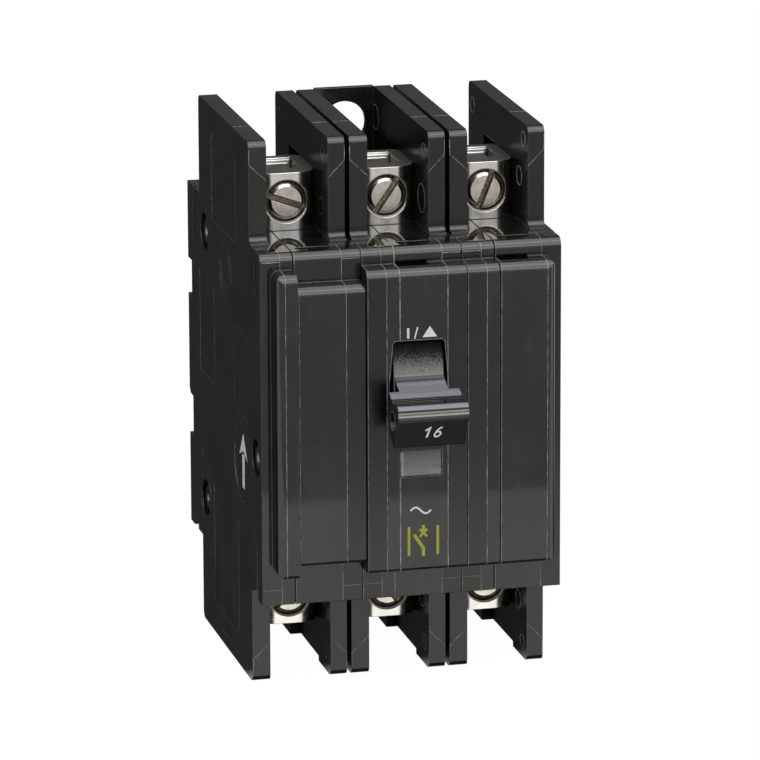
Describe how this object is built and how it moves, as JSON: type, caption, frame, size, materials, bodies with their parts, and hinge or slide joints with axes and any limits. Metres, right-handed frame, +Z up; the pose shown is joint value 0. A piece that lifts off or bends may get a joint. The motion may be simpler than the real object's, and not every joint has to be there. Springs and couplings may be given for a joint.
{
  "type": "miniature circuit breaker",
  "caption": "Unit-mount multi-pole miniature circuit breaker with one common handle, box-lug terminals between phase barriers, a trip window and a seat for a 35 mm rail.",
  "frame": {"origin": "centre of the rear mounting face: midway across the poles, halfway up the phase barriers", "axes": "+X to the right seen from the front, +Z up towards the line terminals, the front faces -Y"},
  "size_m": [0.057, 0.0803, 0.1036],
  "materials": {
    "case_base": "black moulded thermoset, satin",
    "case_cover": "black moulded thermoset, satin",
    "handle": "black moulded plastic, satin",
    "window": "clear plastic lens",
    "flag": "red-orange plastic",
    "insulator": "brown moulded plastic",
    "steel": "zinc-plated steel",
    "spring_steel": "spring steel",
    "copper": "copper",
    "tinned": "tin-plated copper",
    "bimetal": "rolled bimetal strip",
    "iron": "blackened steel",
    "lug": "bright tin-plated steel",
    "screw": "nickel-plated steel",
    "fibre": "vulcanised fibre"
  },
  "bodies": {
    "case": {"pole_1_base": "case_base", "pole_2_base": "case_base", "pole_3_base": "case_base", "pole_1_cover": "case_cover", "pole_2_cover": "case_cover", "pole_3_cover": "case_cover", "case_rivets": "steel", "handle_pin": "steel", "trip_window": "window", "pivot_pins": "steel", "bimetal_1": "bimetal", "bimetal_2": "bimetal", "bimetal_3": "bimetal", "magnet_yoke_1": "iron", "magnet_yoke_2": "iron", "magnet_yoke_3": "iron", "line_strap_1": "tinned", "line_strap_2": "tinned", "line_strap_3": "tinned", "load_strap_1": "tinned", "load_strap_2": "tinned", "load_strap_3": "tinned", "line_lug_1": "lug", "line_lug_2": "lug", "line_lug_3": "lug", "load_lug_1": "lug", "load_lug_2": "lug", "load_lug_3": "lug", "arc_plates": "iron", "arc_sides": "fibre", "shunt_braids": "copper"},
    "handle": {"handle": "handle"},
    "contact_arms": {"contact_arm_1": "copper", "contact_arm_2": "copper", "contact_arm_3": "copper", "tie_bar": "insulator", "toggle_spring_1": "spring_steel", "toggle_spring_2": "spring_steel", "toggle_spring_3": "spring_steel"},
    "trip_bar": {"trip_bar": "insulator", "armature_1": "iron", "armature_2": "iron", "armature_3": "iron"},
    "cradles": {"cradle_1": "iron", "cradle_2": "iron", "cradle_3": "iron"},
    "trip_flag": {"trip_flag": "flag"},
    "line_saddle_1": {"line_saddle_1": "lug"},
    "line_screw_1": {"line_screw_1": "screw"},
    "line_saddle_2": {"line_saddle_2": "lug"},
    "line_screw_2": {"line_screw_2": "screw"},
    "line_saddle_3": {"line_saddle_3": "lug"},
    "line_screw_3": {"line_screw_3": "screw"},
    "load_saddle_1": {"load_saddle_1": "lug"},
    "load_screw_1": {"load_screw_1": "screw"},
    "load_saddle_2": {"load_saddle_2": "lug"},
    "load_screw_2": {"load_screw_2": "screw"},
    "load_saddle_3": {"load_saddle_3": "lug"},
    "load_screw_3": {"load_screw_3": "screw"}
  },
  "joints": [
    {"name": "handle_turn", "type": "hinge", "parent": "case", "child": "handle", "pos_m": [0.00025, -0.052, 0.0076], "axis": [-1, 0, 0], "range_deg": [0, 22]},
    {"name": "contact_arms_turn", "type": "hinge", "parent": "case", "child": "contact_arms", "pos_m": [0, -0.041, -0.012], "axis": [-1, 0, 0], "range_deg": [0, 18.1]},
    {"name": "trip_bar_turn", "type": "hinge", "parent": "case", "child": "trip_bar", "pos_m": [0, -0.028, -0.0235], "axis": [-1, 0, 0], "range_deg": [0, 8]},
    {"name": "cradles_turn", "type": "hinge", "parent": "case", "child": "cradles", "pos_m": [0, -0.044, 0.022], "axis": [-1, 0, 0], "range_deg": [0, 15.1]},
    {"name": "trip_flag_slide", "type": "slide", "parent": "case", "child": "trip_flag", "axis": [0, 0, 1], "range_m": [0, 0.0056]},
    {"name": "line_clamp_1", "type": "slide", "parent": "case", "child": "line_saddle_1", "axis": [0, 1, 0], "range_m": [0, 0.002]},
    {"name": "line_screw_turn_1", "type": "hinge", "parent": "line_saddle_1", "child": "line_screw_1", "pos_m": [-0.01932, -0.0463, 0.0381], "axis": [0, 1, 0], "range_deg": [0, 722]},
    {"name": "line_clamp_2", "type": "slide", "parent": "case", "child": "line_saddle_2", "axis": [0, 1, 0], "range_m": [0, 0.002]},
    {"name": "line_screw_turn_2", "type": "hinge", "parent": "line_saddle_2", "child": "line_screw_2", "pos_m": [-0.00028, -0.0463, 0.0381], "axis": [0, 1, 0], "range_deg": [0, 722]},
    {"name": "line_clamp_3", "type": "slide", "parent": "case", "child": "line_saddle_3", "axis": [0, 1, 0], "range_m": [0, 0.002]},
    {"name": "line_screw_turn_3", "type": "hinge", "parent": "line_saddle_3", "child": "line_screw_3", "pos_m": [0.01878, -0.0463, 0.0381], "axis": [0, 1, 0], "range_deg": [0, 722]},
    {"name": "load_clamp_1", "type": "slide", "parent": "case", "child": "load_saddle_1", "axis": [0, 1, 0], "range_m": [0, 0.002]},
    {"name": "load_screw_turn_1", "type": "hinge", "parent": "load_saddle_1", "child": "load_screw_1", "pos_m": [-0.01932, -0.0463, -0.0381], "axis": [0, 1, 0], "range_deg": [0, 722]},
    {"name": "load_clamp_2", "type": "slide", "parent": "case", "child": "load_saddle_2", "axis": [0, 1, 0], "range_m": [0, 0.002]},
    {"name": "load_screw_turn_2", "type": "hinge", "parent": "load_saddle_2", "child": "load_screw_2", "pos_m": [-0.00028, -0.0463, -0.0381], "axis": [0, 1, 0], "range_deg": [0, 722]},
    {"name": "load_clamp_3", "type": "slide", "parent": "case", "child": "load_saddle_3", "axis": [0, 1, 0], "range_m": [0, 0.002]},
    {"name": "load_screw_turn_3", "type": "hinge", "parent": "load_saddle_3", "child": "load_screw_3", "pos_m": [0.01878, -0.0463, -0.0381], "axis": [0, 1, 0], "range_deg": [0, 722]}
  ],
  "couplings": [
    {"joint": "contact_arms_turn", "follows": "handle_turn", "ratio": 0.81818},
    {"joint": "cradles_turn", "follows": "trip_bar_turn", "ratio": 1.875},
    {"joint": "trip_flag_slide", "follows": "trip_bar_turn", "m_per_rad": 0.039391},
    {"joint": "line_screw_turn_1", "follows": "line_clamp_1", "rad_per_m": 6283.2},
    {"joint": "line_screw_turn_2", "follows": "line_clamp_2", "rad_per_m": 6283.2},
    {"joint": "line_screw_turn_3", "follows": "line_clamp_3", "rad_per_m": 6283.2},
    {"joint": "load_screw_turn_1", "follows": "load_clamp_1", "rad_per_m": 6283.2},
    {"joint": "load_screw_turn_2", "follows": "load_clamp_2", "rad_per_m": 6283.2},
    {"joint": "load_screw_turn_3", "follows": "load_clamp_3", "rad_per_m": 6283.2}
  ]
}
